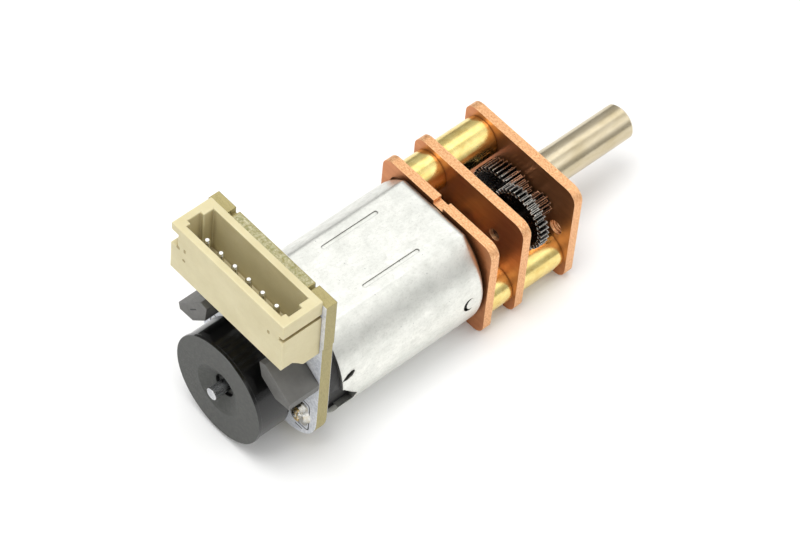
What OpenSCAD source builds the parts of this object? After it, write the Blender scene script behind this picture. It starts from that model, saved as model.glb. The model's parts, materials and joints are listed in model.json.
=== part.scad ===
// Micro gearmotor: three-plate spur gearbox, brushed motor and magnetic encoder.
// +X points out of the output shaft, +Z is up, and the origin is the centre of the
// front plate's outer face. Everything behind that face has a negative X.

/* [Gearbox] */
// Width of the three plates, along Y
plate_w = 12; // [12:0.1:12.6]
// Height of the three plates, along Z
plate_h = 10; // [10:0.1:10.4]
// Thickness of each plate
plate_t = 0.8; // [0.7:0.05:0.85]
// Corner radius of the plates
plate_r = 1.05; // [0.4:0.05:1.4]
// Outer diameter of the brass spacer sleeves
sleeve_d = 3.4; // [3:0.1:3.4]
// Spacing of the two threaded mounting holes in the front plate
mount_spacing = 9; // [8.8:0.1:9.1]
// Diameter of the mounting holes at the thread's crest
mount_hole_d = 1.25; // [1.1:0.05:1.4]

/* [Output shaft] */
// Diameter of the output shaft
shaft_d = 3; // [2.9:0.05:3]
// Length of the output shaft ahead of the front plate
shaft_len = 10.3; // [8:0.1:14]
// Size across the flat of the output shaft
shaft_across = 2.5; // [2.4:0.05:2.8]
// Distance from the front plate to the start of the flat
flat_start = 1.5; // [1:0.1:3]

/* [Gears] */
// Module of the second, third and last gear pairs
gear_module = 0.15; // [0.148:0.001:0.151]
// Direction of the third gear's axle about the shaft, in degrees from +Y
idler_angle = 149; // [147:0.5:151]
// Share of the tooth pitch left free between meshing flanks
backlash = 0.16; // [0.14:0.01:0.24]

/* [Motor] */
// Diameter of the motor can
can_d = 12; // [12:0.1:12.2]
// Height of the motor can across its two flats
can_h = 10; // [10:0.05:10.2]
// Length of the motor can
can_len = 14.25; // [14:0.05:14.5]
// Diameter of the armature
armature_d = 7.4; // [7:0.1:7.6]

/* [Encoder] */
// Width of the encoder board
board_w = 12.6; // [12.4:0.1:13]
// Height of the board's top edge above the shaft
board_top = 12.9; // [12.6:0.1:14]
// Diameter of the encoder magnet
magnet_d = 9.2; // [8.8:0.05:9.3]
// Length of the encoder magnet
magnet_len = 2.95; // [2.6:0.05:3.05]
// Pitch of the connector pins
pin_pitch = 1.5; // [1.4:0.05:1.55]

/* [Hidden] */
$fn = 64;

// Running clearance between a journal and its bore, on the radius
fit = 0.03;
// Gap between rows of moving gears, and between them and the plates
side_gap = 0.15;

// Plate faces along X, from the front of the gearbox to the motor
front_in = -plate_t;
mid_out = -5.2;
mid_in = mid_out - plate_t;
rear_out = -8.4;
rear_in = rear_out - plate_t;
sleeve_y = 4;
sleeve_z = 2.85;
boss_r = 2;
nick_y = [-0.55, 0.45];
nick_depth = 0.4;

// Screws: M1.6 through the sleeves, and M1.6 into the motor's front face
screw_r = 0.78;
screw_hole_r = 0.85;
head_r = 1.35;
head_h = 0.6;
motor_screw_z = 3.3;
motor_screw_head_r = 1.1;
slot_w = 0.3;

// Gear train: teeth of each stage as [driver, driven]
stage_1 = [14, 32];
stage_2 = [13, 35];
stage_3 = [15, 33];
stage_4 = [10, 38];
axle_distance = gear_module * (stage_4[0] + stage_4[1]) / 2;
first_module = 2 * axle_distance / (stage_1[0] + stage_1[1]);
pressure_angle = 20;
first_angle = idler_angle - 180;
axle_r = 0.5;

// Gear faces along X, as [back, front]
pinion_x = [-8.2, -6.7];
first_wheel_x = [-7.6, -6.8];
first_pinion_x = [-6.8, -4.1];
second_wheel_x = [mid_out + side_gap, -4.25];
second_pinion_x = [-4.25, -2.65];
third_wheel_x = [-3.7, -2.85];
third_pinion_x = [-2.85, front_in - side_gap];
output_gear_x = [-2.5, front_in - 0.2];
gear_seat_r = 1.15;
axle_end = 0.25;
washer_r = 2.3;
washer_t = 0.15;
// The shaft steps down to a journal where it runs in the front bush, and its round
// part ahead of the bush is ground a little smaller than the flatted drive end
journal_r = 1.3;
shoulder_x = 0.1;
collar_relief = 0.01;
tip_chamfer = 0.2;

// Motor, along X
can_wall = 0.5;
can_back = rear_in - can_len;
can_edge_r = 0.8;
can_crease_r = 0.7;
groove_x = [-18.4, -13.3];
groove_y = 2.28;
groove_r = 0.18;
groove_depth = 0.08;
crimp_x = -22.8;
crimp_angle = 14;
stop_x = -10.95;
stop_z = 0.3;
stop_r = 0.6;
bearing_r = 1.5;
motor_shaft_r = 0.5;
motor_shaft_x = [-30.85, -6.6];
armature_x = [-18.3, -12.3];
coil_x = [-19.1, -11.5];
magnet_x = [-19.6, -11.4];
arc_r = [3.95, 5.4];
arc_half_angle = 56;
commutator_x = [-21.5, -19.4];
commutator_r = 1.3;
cap_front = -21.9;
cap_back = -24.7;
cap_r = 5.65;
cap_gap = 0.02;
pole_count = 3;
clip_z = 4.15;
clip_t = 0.25;
brush_x = [-20.9, -20.1];
brush_t = 0.15;
brush_y = 3.3;

// Encoder board and what it carries, along X
board_t = 1;
board_front = -25.2;
board_back = board_front - board_t;
board_bottom = -4;
board_corner_r = 3;
notch_y = 4.3;
notch_depth = 0.6;
break_depth = 0.12;
tab_z = 8.1;
terminal_y = 4.6;
terminal_z = -1.2;
terminal_t = 0.4;
terminal_h = 1.4;
terminal_play = 0.1;
board_hole_r = 1.7;
magnet_back = -30.25;
magnet_front = magnet_back + magnet_len;
magnet_rim = 0.3;
dish_r = [2.25, 0.95];
dish_depth = [0.65, 0.95];

// Connector housing
pin_count = 6;
shell_x = [-29.9, board_back];
shell_y = 6.04;
shell_z = [8.35, 13.37];
cavity_x = [-29.3, -26.8];
cavity_y = 5.1;
cavity_floor = 8.95;
pin_x = -28.5;
pin_top = 12.5;
pin_r = 0.25;
tail_z = 7.85;
latch_z = [11.55, 11.95];
latch_depth = 0.4;
foot_w = 0.8;
foot_z = 7.35;

// Hall sensors: flat packages that lie around the magnet
sensor_angle = 45;
sensor_x = [-29.1, board_back - 0.05];
sensor_centre_r = 5.9;
// The sensor on the -Y side sits a little further out, and leans
sensor_out = 0.3;
sensor_drop = 0.2;
sensor_lean = 10;
lead_pitch = 1.27;
lead_r = 0.19;
lead_hole_r = 0.3;

// ---- shared shapes ----

// A round rod along X between two positions
module rod(x, r, y = 0, z = 0, sides = 64)
  translate([x[0], y, z]) rotate([0, 90, 0]) cylinder(h = x[1] - x[0], r = r, $fn = sides);

// A tube along X between two positions
module tube(x, outer, inner, y = 0, z = 0)
  difference() {
    rod(x, outer, y, z);
    rod([x[0] - 1, x[1] + 1], inner, y, z);
  }

// A cone along X, from radius r0 at the back to r1 at the front
module taper(x, r0, r1, y = 0, z = 0)
  translate([x[0], y, z]) rotate([0, 90, 0]) cylinder(h = x[1] - x[0], r1 = r0, r2 = r1, $fn = 48);

// Extrudes a flat outline, drawn in (Y, Z), along X
module slab(x) translate([x[0], 0, 0]) rotate([90, 0, 90]) linear_extrude(x[1] - x[0]) children();

// A box given by its lowest and highest corners
module block(low, high) translate(low) cube(high - low);

// An outline with round corners, centred on the shaft
module round_rect(w, h, r)
  union() {
    square([w - 2 * r, h], center = true);
    square([w, h - 2 * r], center = true);
    for (y = [-1, 1], z = [-1, 1])
      translate([y * (w / 2 - r), z * (h / 2 - r)]) circle(r);
  }

// A circle with a flat top and bottom
module flatted_circle(r, h)
  intersection() {
    circle(r, $fn = 128);
    square([2 * r + 1, h], center = true);
  }

// The can's outline: as above, with the four creases rounded to radius c
module creased_circle(r, h, c) {
  cz = h / 2 - c;
  cy = sqrt((r - c) * (r - c) - cz * cz);
  square([2 * cy, h], center = true);
  for (y = [-cy, cy], z = [-cz, cz]) translate([y, z]) circle(c, $fn = 48);
  intersection() {
    circle(r, $fn = 128);
    union() for (s = [-3, 3])
      polygon([[0, 0], [s * cy, -cz * 3], [s * r, -cz * 3], [s * r, cz * 3], [s * cy, cz * 3]]);
  }
}

// Places children at the two screw positions, on opposite corners
module at_sleeves() for (s = [-1, 1]) translate([0, s * sleeve_y, s * sleeve_z]) children();

// Places children in front of a point at distance r and angle a about the shaft
module around(a, r) translate([0, r * cos(a), r * sin(a)]) children();

// ---- gears ----

// Involute function, in degrees
function inv(r, base) = r <= base ? 0 : tan(acos(base / r)) * 180 / PI - acos(base / r);

// Half the angle that a tooth takes up at radius r
function half_tooth(teeth, pitch, base, r) =
  90 / teeth * (1 - backlash) + inv(pitch, base) - inv(max(r, base), base);

function polar(r, a) = [r * cos(a), r * sin(a)];

// Points of one tooth: up one flank and down the other
function tooth(teeth, m, a) =
  let (
    pitch = m * teeth / 2,
    base = pitch * cos(pressure_angle),
    root = pitch - 1.25 * m,
    tip = pitch + m,
    radii = [root, max(base, root + 0.1 * m), pitch, pitch + 0.6 * m, tip],
    spread = [for (r = radii) half_tooth(teeth, pitch, base, r)]
  )
  concat(
    [for (i = [0:4]) polar(radii[i], a - spread[i])],
    [for (i = [4:-1:0]) polar(radii[i], a + spread[i])]
  );

// Outline of a gear with a tooth centred at angle a
module gear_outline(teeth, m, a)
  polygon([for (i = [0:teeth - 1]) each tooth(teeth, m, a + i * 360 / teeth)]);

// Tooth angle of a driven gear that meshes with a driver's tooth at angle a,
// when its centre lies in direction line from the driver
function meshed(a, pair, line) = line + 180 + 180 / pair[1] - (a - line) * pair[0] / pair[1];

// Tooth angles at rest, worked along the train from the motor pinion
pinion_tooth = 0;
first_wheel_tooth = meshed(pinion_tooth, stage_1, first_angle);
first_pinion_tooth = 0;
second_wheel_tooth = meshed(first_pinion_tooth, stage_2, first_angle + 180);
second_pinion_tooth = 0;
third_wheel_tooth = meshed(second_pinion_tooth, stage_3, idler_angle);
third_pinion_tooth = 0;
output_tooth = meshed(third_pinion_tooth, stage_4, idler_angle + 180);

module gear(x, teeth, m, a, bore) {
  difference() {
    slab(x) gear_outline(teeth, m, a);
    rod([x[0] - 1, x[1] + 1], bore);
  }
}

// ---- gearbox plates and fasteners ----

module plate_blank(x) slab([x, x + plate_t]) round_rect(plate_w, plate_h, plate_r);

module front_plate()
  color("peru") difference() {
    plate_blank(front_in);
    rod([front_in - 1, 1], boss_r);
    for (s = [-1, 1]) rod([front_in - 1, 1], mount_hole_d / 2, s * mount_spacing / 2, 0);
    at_sleeves() rod([front_in - 1, 1], screw_hole_r);
    at_sleeves() taper([-head_h, 0.01], screw_hole_r, head_r + 0.02);
    around(idler_angle, axle_distance) rod([front_in - 1, -axle_end + 0.05], axle_r + fit);
  }

module mid_plate()
  color("peru") difference() {
    plate_blank(mid_in);
    rod([mid_in - 1, mid_out + 1], axle_r + fit);
    around(idler_angle, axle_distance) rod([mid_in - 1, mid_out + 1], axle_r + fit);
    around(first_angle, axle_distance) rod([mid_in - 1, mid_out + 1], 1.4);
    at_sleeves() rod([mid_in - 1, mid_out + 1], screw_hole_r);
  }

// The small nick in the rear plate's top edge marks its right way round
module rear_plate()
  color("peru") difference() {
    plate_blank(rear_in);
    rod([rear_in - 1, rear_out + 1], boss_r);
    around(first_angle, axle_distance) rod([rear_in - 1, rear_out + 1], axle_r);
    at_sleeves() rod([rear_in - 1, rear_out + 1], screw_r);
    at_sleeves() taper([rear_in - 0.01, rear_in + 0.2], screw_r + 0.3, screw_r);
    for (s = [-1, 1]) {
      rod([rear_in - 1, rear_out + 1], screw_hole_r, 0, s * motor_screw_z);
      translate([0, 0, s * motor_screw_z])
        taper([rear_out - 0.5, rear_out + 0.01], screw_hole_r, motor_screw_head_r + 0.02);
    }
    block([rear_in - 1, nick_y[0], plate_h / 2 - nick_depth], [rear_out + 1, nick_y[1], plate_h]);
  }

module sleeve(x) at_sleeves() tube(x, sleeve_d / 2, screw_hole_r);

module front_sleeves() color("goldenrod") sleeve([mid_out, front_in]);

module rear_sleeves() color("goldenrod") sleeve([rear_out, mid_in]);

// A slotted countersunk screw whose head faces +X at position x
module slotted_screw(x, back, head, height)
  difference() {
    union() {
      rod([back, x - height], screw_r);
      taper([x - height, x], screw_r, head);
    }
    block([x - 0.25, -head - 1, -slot_w / 2], [x + 1, head + 1, slot_w / 2]);
  }

module gearbox_screws()
  color("silver")
  at_sleeves() slotted_screw(0, rear_in + 0.03, head_r, head_h);

module motor_screws()
  color("silver") for (s = [-1, 1])
    translate([0, 0, s * motor_screw_z])
      slotted_screw(rear_out, rear_in - 1.1, motor_screw_head_r, 0.5);

module output_bush() color("gold") tube([front_in, 0], boss_r, journal_r + fit);

module output_washer()
  color("dimgray") tube([front_in - washer_t, front_in], washer_r, journal_r + fit);

// ---- gears on the output side ----

module output_shaft()
  color("lightgray") difference() {
    union() {
      rod([mid_in + axle_end, output_gear_x[0]], axle_r);
      rod(output_gear_x, gear_seat_r);
      rod([output_gear_x[1], shoulder_x], journal_r);
      rod([shoulder_x, flat_start], shaft_d / 2 - collar_relief);
      rod([flat_start, shaft_len - tip_chamfer], shaft_d / 2);
      taper([shaft_len - tip_chamfer, shaft_len], shaft_d / 2, shaft_d / 2 - tip_chamfer);
    }
    block([flat_start, -shaft_d, -shaft_d], [shaft_len + 1, shaft_d, shaft_d / 2 - shaft_across]);
  }

module output_gear()
  color("#303030") gear(output_gear_x, stage_4[1], gear_module, output_tooth, gear_seat_r);

module third_wheel()
  color("#303030") around(idler_angle, axle_distance)
    gear(third_wheel_x, stage_3[1], gear_module, third_wheel_tooth, axle_r);

// Ten-tooth pinion cut on its own axle, which turns in the mid and front plates
module third_pinion()
  color("#3a3a3a") around(idler_angle, axle_distance) {
    slab(third_pinion_x) gear_outline(stage_4[0], gear_module, third_pinion_tooth);
    rod([mid_in + axle_end, third_pinion_x[0]], axle_r);
    rod([third_pinion_x[1], -axle_end], axle_r);
  }

module second_wheel()
  color("#303030") gear(second_wheel_x, stage_2[1], gear_module, second_wheel_tooth, axle_r + fit);

module second_pinion()
  color("#3a3a3a") gear(second_pinion_x, stage_3[0], gear_module, second_pinion_tooth, axle_r + fit);

// ---- gears on the motor side ----

module first_wheel()
  color("goldenrod") around(first_angle, axle_distance)
    gear(first_wheel_x, stage_1[1], first_module, first_wheel_tooth, axle_r + fit);

module first_pinion()
  color("#3a3a3a") around(first_angle, axle_distance)
    gear(first_pinion_x, stage_2[0], gear_module, first_pinion_tooth, axle_r + fit);

module first_gear_pin()
  color("silver") around(first_angle, axle_distance) rod([rear_in, first_pinion_x[1] + 0.5], axle_r);

module first_gear_retainer()
  color("dimgray") around(first_angle, axle_distance)
    tube([first_pinion_x[1] + 0.1, first_pinion_x[1] + 0.35], 0.95, axle_r);

module motor_pinion()
  color("goldenrod") gear(pinion_x, stage_1[0], first_module, pinion_tooth, motor_shaft_r);

// ---- motor ----

// Solid with the can's outline and a round front edge
module can_form(back, front, r, h, edge)
  intersection() {
    slab([back, front]) creased_circle(r, h, can_crease_r);
    union() {
      rod([back, front - edge], r, sides = 128);
      translate([front - edge, 0, 0]) rotate([0, 90, 0]) rotate_extrude($fn = 128) {
        square([r - edge, edge]);
        intersection() {
          translate([r - edge, 0]) circle(edge, $fn = 48);
          square([r, edge]);
        }
      }
    }
    union() {
      block([back, -r, -h / 2], [front - edge, r, h / 2]);
      block([back, -r, edge - h / 2], [front, r, h / 2 - edge]);
      for (s = [-1, 1]) translate([front - edge, r, s * (h / 2 - edge)])
        rotate([90, 0, 0]) cylinder(h = 2 * r, r = edge, $fn = 48);
    }
  }

// Two long pressed grooves with round ends in each flat of the can
module can_grooves()
  for (y = [-1, 1], z = [-1, 1])
    translate([0, y * groove_y, z * can_h / 2]) {
      block([groove_x[0], -groove_r, -groove_depth], [groove_x[1], groove_r, groove_depth]);
      for (x = groove_x) translate([x, 0, -groove_depth])
        cylinder(h = 2 * groove_depth, r = groove_r, $fn = 24);
    }

// Leaf-shaped slit that a crimping punch leaves: pointed at the back, blunt in front
module crimp_slit()
  polygon([
    [-0.68, -0.2],
    [-0.15, 0.17],
    [0.3, 0.3],
    [0.56, 0.26],
    [0.6, 0.1],
    [0.3, -0.16],
    [-0.1, -0.26]
  ]);

// Pressed stop for each magnet, and the crimps that hold the end cap
module can_marks()
  for (s = [-1, 1]) {
    difference() {
      translate([stop_x, s * can_d / 2, stop_z]) rotate([90, 0, 0])
        cylinder(h = 0.5, r = stop_r, center = true, $fn = 32);
      translate([stop_x + 0.2, s * can_d / 2, stop_z]) rotate([90, 0, 0])
        cylinder(h = 1, r = stop_r - 0.08, center = true, $fn = 32);
    }
    translate([crimp_x, s * can_d / 2 * cos(crimp_angle), can_d / 2 * sin(crimp_angle)])
      rotate([90, 0, 0]) linear_extrude(0.9, center = true) crimp_slit();
  }

// Wedge-shaped cut in the can's back edge where each crimp tab was folded, from the
// outside down to a distance low from the shaft
module crimp_cut(s, low)
  translate([0, s > 0 ? can_d / 2 + 1 : -low, 0]) rotate([90, 0, 0])
    linear_extrude(can_d / 2 + 1 - low)
      polygon([
        [can_back - 1, 0.45],
        [can_back + 0.1, 0.4],
        [can_back + 1.6, -1.3],
        [can_back + 1.4, -2.1],
        [can_back - 1, -2.1]
      ]);

module motor_can()
  color("gainsboro") difference() {
    union() {
      can_form(can_back, rear_in, can_d / 2, can_h, can_edge_r);
      rod([rear_in - 0.1, rear_out], boss_r);
    }
    can_form(can_back - 1, rear_in - can_wall, can_d / 2 - can_wall, can_h - 2 * can_wall, 0.4);
    rod([rear_in - 1, 0], bearing_r);
    for (s = [-1, 1]) rod([rear_in - 1, rear_in + 1], screw_r, 0, s * motor_screw_z);
    can_grooves();
    can_marks();
    for (s = [-1, 1]) crimp_cut(s, 4.4);
  }

module front_bearing() color("#a07840")
  tube([rear_in - 1.3, rear_out - 0.05], bearing_r, motor_shaft_r + fit);

module rear_bearing() color("#a07840")
  tube([cap_back, cap_front + 0.4], bearing_r, motor_shaft_r + fit);

// Outline of one curved magnet, as a ring sector on the +Y side
module arc_outline()
  intersection() {
    difference() {
      circle(arc_r[1], $fn = 96);
      circle(arc_r[0], $fn = 96);
    }
    polygon([[0, 0], polar(9, -arc_half_angle), polar(9, 0), polar(9, arc_half_angle)]);
    square([20, can_h - 2 * can_wall - 0.1], center = true);
  }

module stator_magnets()
  color("#4a4a4c") slab(magnet_x) for (a = [0, 180]) rotate(a) arc_outline();

// Spring strip between the two magnets, with two ribs pressed into it
module magnet_clip()
  color("silver") slab([magnet_x[0] + 1, magnet_x[1] - 1])
    for (s = [-1, 1]) {
      translate([s * 1.35 - 1.4, clip_z]) square([2.8, clip_t]);
      translate([s * 2.1 - 0.12, clip_z - 0.4]) square([0.24, 0.5]);
    }

module motor_shaft() color("silver") rod(motor_shaft_x, motor_shaft_r);

// Three pole pieces, each with a curved shoe
module armature_core()
  color("slategray") slab(armature_x) difference() {
    union() {
      circle(1.35);
      for (i = [0:pole_count - 1]) rotate(90 + i * 360 / pole_count) {
        translate([0, -0.7]) square([armature_d / 2 - 0.3, 1.4]);
        intersection() {
          difference() {
            circle(armature_d / 2);
            circle(armature_d / 2 - 0.55);
          }
          polygon([[0, 0], polar(6, -50), polar(6, 0), polar(6, 50)]);
        }
      }
    }
    circle(motor_shaft_r);
  }

// One coil round each pole piece
module armature_windings()
  color("#b5651d") for (i = [0:pole_count - 1])
    rotate([90 + i * 360 / pole_count, 0, 0]) difference() {
      intersection() {
        block([coil_x[0], 1.55, -1.5], [coil_x[1], 3.05, 1.5]);
        rod(coil_x, armature_d / 2 - 0.6);
        slab(coil_x) polygon([[0, 0], polar(4, -49), polar(4, 0), polar(4, 49)]);
      }
      block([armature_x[0] - 0.02, 0, -0.72], [armature_x[1] + 0.02, 4, 0.72]);
    }

module commutator_hub() color("#2b2b2b") tube(commutator_x, commutator_r - 0.3, motor_shaft_r);

module commutator_segments()
  color("peru") slab([commutator_x[0] + 0.1, commutator_x[1] - 0.3])
    for (i = [0:pole_count - 1]) rotate(30 + i * 360 / pole_count)
      intersection() {
        difference() {
          circle(commutator_r);
          circle(commutator_r - 0.3);
        }
        polygon([[0, 0], polar(3, -55), polar(3, 0), polar(3, 55)]);
      }

module thrust_washers()
  color("ivory") {
    tube([rear_in - 1.7, rear_in - 1.45], 1.1, motor_shaft_r);
    tube([armature_x[1], armature_x[1] + 0.3], 1.2, motor_shaft_r);
  }

// ---- end cap, brushes and terminals ----

// Cross-section of the two flat terminals, or of their slots where play is not 0
module terminal_outlines(play)
  for (s = [-1, 1]) translate([s * terminal_y, terminal_z])
    square([terminal_t + 2 * play, terminal_h + 2 * play], center = true);

module end_cap()
  color("#3c3c3e") difference() {
    union() {
      slab([can_back, cap_front])
        creased_circle(can_d / 2 - can_wall - cap_gap, can_h - 2 * (can_wall + cap_gap), can_crease_r);
      slab([cap_back, can_back]) flatted_circle(cap_r, can_h - 0.7);
    }
    rod([cap_back - 1, cap_front + 1], bearing_r);
    slab([cap_back - 1, cap_front + 1]) terminal_outlines(terminal_play);
    for (s = [-1, 1]) block(
      [cap_front - 0.6, s > 0 ? 2.4 : -terminal_y - 0.3, -2],
      [cap_front + 1, s > 0 ? terminal_y + 0.3 : -2.4, 2]
    );
    for (s = [-1, 1]) crimp_cut(s, terminal_y + 0.4);
  }

// Spring fingers that press on the commutator from above and below, each on a foot
// that reaches across to its terminal
module brushes()
  color("gold") for (s = [-1, 1]) rotate([s > 0 ? 0 : 180, 0, 0]) {
    contact = commutator_r + fit;
    foot = cap_front - 0.6;
    block([brush_x[0], -1.2, contact], [brush_x[1], brush_y, contact + brush_t]);
    block([foot, brush_y - 0.2, contact - 0.6], [brush_x[1], brush_y, contact + brush_t]);
    block([foot, brush_y - 0.2, -0.5], [foot + brush_t, terminal_y - terminal_t / 2, contact]);
  }

module motor_terminals()
  color("gold") slab([board_back - 0.5, cap_front + 0.1]) terminal_outlines(0);

// ---- encoder ----

// Board outline: a straight upper tab over a round-cornered lower part. The top edge is
// notched and slightly low where it was broken out of its panel
module board_outline()
  difference() {
    union() {
      translate([-board_w / 2, 0]) square([board_w, tab_z]);
      translate([-board_w / 2 - 0.1, tab_z]) square([board_w + 0.2, board_top - tab_z]);
      translate([board_corner_r - board_w / 2, board_bottom])
        square([board_w - 2 * board_corner_r, 5]);
      for (s = [-1, 1])
        translate([s * (board_w / 2 - board_corner_r), board_bottom + board_corner_r])
          circle(board_corner_r);
      translate([-board_w / 2, board_bottom + board_corner_r])
        square([board_w, -board_bottom - board_corner_r + 1]);
    }
    for (s = [-1, 1]) translate([s * notch_y - 0.2, board_top - notch_depth]) square([0.4, 1]);
    translate([-notch_y, board_top - break_depth]) square([2 * notch_y, 1]);
    circle(board_hole_r);
    terminal_outlines(terminal_play);
  }

function pin_y(i) = (i - (pin_count - 1) / 2) * pin_pitch;

module encoder_board()
  color("#8a7f3a") difference() {
    slab([board_back, board_front]) board_outline();
    for (i = [0:pin_count - 1])
      rod([board_back - 1, board_front + 1], lead_hole_r, pin_y(i), tail_z, sides = 24);
    at_leads() rod([board_back - 1, board_front + 1], lead_hole_r, sides = 24);
  }

// Side view of a foot that bears on the board under the housing
module foot_outline()
  polygon([
    [shell_x[1], foot_z],
    [shell_x[1], shell_z[0] + 1],
    [-28.8, shell_z[0] + 1],
    [-28.8, shell_z[0]],
    [-28.2, foot_z + 0.45],
    [-27.8, foot_z]
  ]);

module connector_housing()
  color("beige") difference() {
    union() {
      block([shell_x[0], -shell_y, shell_z[0]], [shell_x[1], shell_y, shell_z[1]]);
      for (s = [-1, 1]) translate([0, s > 0 ? shell_y : foot_w - shell_y, 0])
        rotate([90, 0, 0]) linear_extrude(foot_w) foot_outline();
    }
    block([cavity_x[0], -cavity_y, cavity_floor], [cavity_x[1], cavity_y, shell_z[1] + 1]);
    for (s = [-1, 1]) block(
      [-28.9, s > 0 ? cavity_y - 1 : -cavity_y - 0.35, cavity_floor + 0.6],
      [-27.7, s > 0 ? cavity_y + 0.35 : 1 - cavity_y, shell_z[1] + 1]
    );
    block([shell_x[0] - 1, 5.3, 11.2], [-28.95, shell_y + 1, 12.6]);
    for (s = [-1, 1]) block(
      [shell_x[0] - 1, s > 0 ? shell_y - latch_depth : -shell_y - 1, latch_z[0]],
      [shell_x[1] + 1, s > 0 ? shell_y + 1 : latch_depth - shell_y, latch_z[1]]
    );
    for (i = [0:pin_count - 1])
      translate([pin_x, pin_y(i), 7]) cylinder(h = 3, r = pin_r, $fn = 24);
  }

// Bent contact pins: up into the housing, and forward through the board
module connector_pins()
  color("silver") for (i = [0:pin_count - 1]) translate([0, pin_y(i), 0]) {
    translate([pin_x, 0, tail_z]) cylinder(h = pin_top - 0.15 - tail_z, r = pin_r, $fn = 24);
    translate([pin_x, 0, pin_top - 0.15]) cylinder(h = 0.15, r1 = pin_r, r2 = pin_r - 0.1, $fn = 24);
    translate([pin_x, 0, tail_z]) sphere(r = pin_r, $fn = 24);
    rod([pin_x, board_front + 0.5], pin_r, 0, tail_z, sides = 24);
  }

// Places children at a sensor's centre line, with +Y outwards and +Z along its width
module at_sensor(s)
  rotate([90 - s * sensor_angle, 0, 0])
    translate([0, sensor_centre_r + (s < 0 ? sensor_out : 0), s < 0 ? sensor_drop : 0])
      rotate([s < 0 ? -sensor_lean : 0, 0, 0]) children();

module at_leads()
  for (s = [-1, 1], i = [-1:1]) at_sensor(s) translate([0, 0, i * lead_pitch]) children();

module hall_sensor(s)
  color("#454548") at_sensor(s) slab(sensor_x) polygon([
    [0.78, -1.7],
    [0.78, 1.7],
    [0.2, 2.05],
    [-0.78, 0.95],
    [-0.78, -0.95],
    [0.2, -2.05]
  ]);

module hall_sensor_a() hall_sensor(1);

module hall_sensor_b() hall_sensor(-1);

module sensor_leads()
  color("silver") at_leads() rod([sensor_x[1], board_front + 0.5], lead_r, sides = 24);

// Bonded magnet with a shallow dish and a hub in its back face
module encoder_magnet()
  color("#202022") difference() {
    union() {
      rod([magnet_back, magnet_back + magnet_rim], magnet_d / 2, sides = 128);
      rod([magnet_back + magnet_rim, magnet_front], magnet_d / 2 - 0.08, sides = 128);
    }
    taper([magnet_back - 0.01, magnet_back + dish_depth[0]], dish_r[0], dish_r[1]);
    rod([magnet_back - 1, magnet_back + dish_depth[1]], dish_r[1]);
    rod([magnet_back - 1, magnet_front + 1], motor_shaft_r);
  }

// Two pull-up resistors and a filter capacitor on the board's front face
module board_passives()
  color("#26262a") for (y = [-3, 0, 3])
    block([board_front, y - 0.8, 10], [board_front + 0.45, y + 0.8, 10.85]);

// Solder fillets: pins and leads on the front face, motor terminals on the back face
module fillet_ring(r) taper([board_front, board_front + 0.4], lead_hole_r + 0.25, r + 0.02);

module solder_joints()
  color("lightgray") {
    for (i = [0:pin_count - 1]) translate([0, pin_y(i), tail_z]) difference() {
      fillet_ring(pin_r);
      rod([board_front - 1, board_front + 1], pin_r, sides = 24);
    }
    at_leads() difference() {
      fillet_ring(lead_r);
      rod([board_front - 1, board_front + 1], lead_r, sides = 24);
    }
    for (s = [-1, 1]) difference() {
      translate([0, s * terminal_y, terminal_z]) taper([board_back - 0.4, board_back], 0.75, 1.1);
      motor_terminals();
    }
  }

front_plate();
mid_plate();
rear_plate();
front_sleeves();
rear_sleeves();
gearbox_screws();
motor_screws();
output_bush();
output_shaft();
output_gear();
output_washer();
first_gear_pin();
first_gear_retainer();
motor_pinion();
first_wheel();
first_pinion();
second_wheel();
second_pinion();
third_wheel();
third_pinion();
motor_can();
front_bearing();
rear_bearing();
stator_magnets();
magnet_clip();
motor_shaft();
armature_core();
armature_windings();
commutator_hub();
commutator_segments();
thrust_washers();
end_cap();
brushes();
motor_terminals();
encoder_board();
connector_housing();
connector_pins();
hall_sensor_a();
hall_sensor_b();
sensor_leads();
encoder_magnet();
board_passives();
solder_joints();
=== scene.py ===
"""Looks of a micro gearmotor: materials, fine surface detail, light and camera round the fixed CAD frame."""
import json
import math
import random

import bmesh
import bpy
from mathutils import Matrix, Vector, noise


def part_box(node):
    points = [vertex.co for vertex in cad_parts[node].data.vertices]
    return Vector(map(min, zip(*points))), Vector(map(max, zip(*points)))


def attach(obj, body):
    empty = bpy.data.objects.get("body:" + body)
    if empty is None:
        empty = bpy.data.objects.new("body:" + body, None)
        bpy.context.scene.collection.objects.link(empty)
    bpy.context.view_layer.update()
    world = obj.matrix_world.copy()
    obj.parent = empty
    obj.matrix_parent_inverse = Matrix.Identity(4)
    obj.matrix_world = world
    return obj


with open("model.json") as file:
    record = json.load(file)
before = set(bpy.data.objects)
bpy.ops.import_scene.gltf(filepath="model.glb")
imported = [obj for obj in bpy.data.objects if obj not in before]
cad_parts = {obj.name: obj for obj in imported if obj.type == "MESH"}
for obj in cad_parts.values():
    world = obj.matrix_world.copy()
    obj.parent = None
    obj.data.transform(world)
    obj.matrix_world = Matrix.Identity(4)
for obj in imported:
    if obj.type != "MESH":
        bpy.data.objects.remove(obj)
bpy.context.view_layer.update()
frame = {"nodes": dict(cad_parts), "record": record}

MM = 0.001
NODES = frame["nodes"]


# ---- colours and shader nodes ----

def srgb(red, green, blue):
    """A display colour, 0 to 255, as the linear values that a shader takes."""
    def linear(value):
        part = value / 255
        return part / 12.92 if part <= 0.04045 else ((part + 0.055) / 1.055) ** 2.4
    return linear(red), linear(green), linear(blue)


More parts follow.
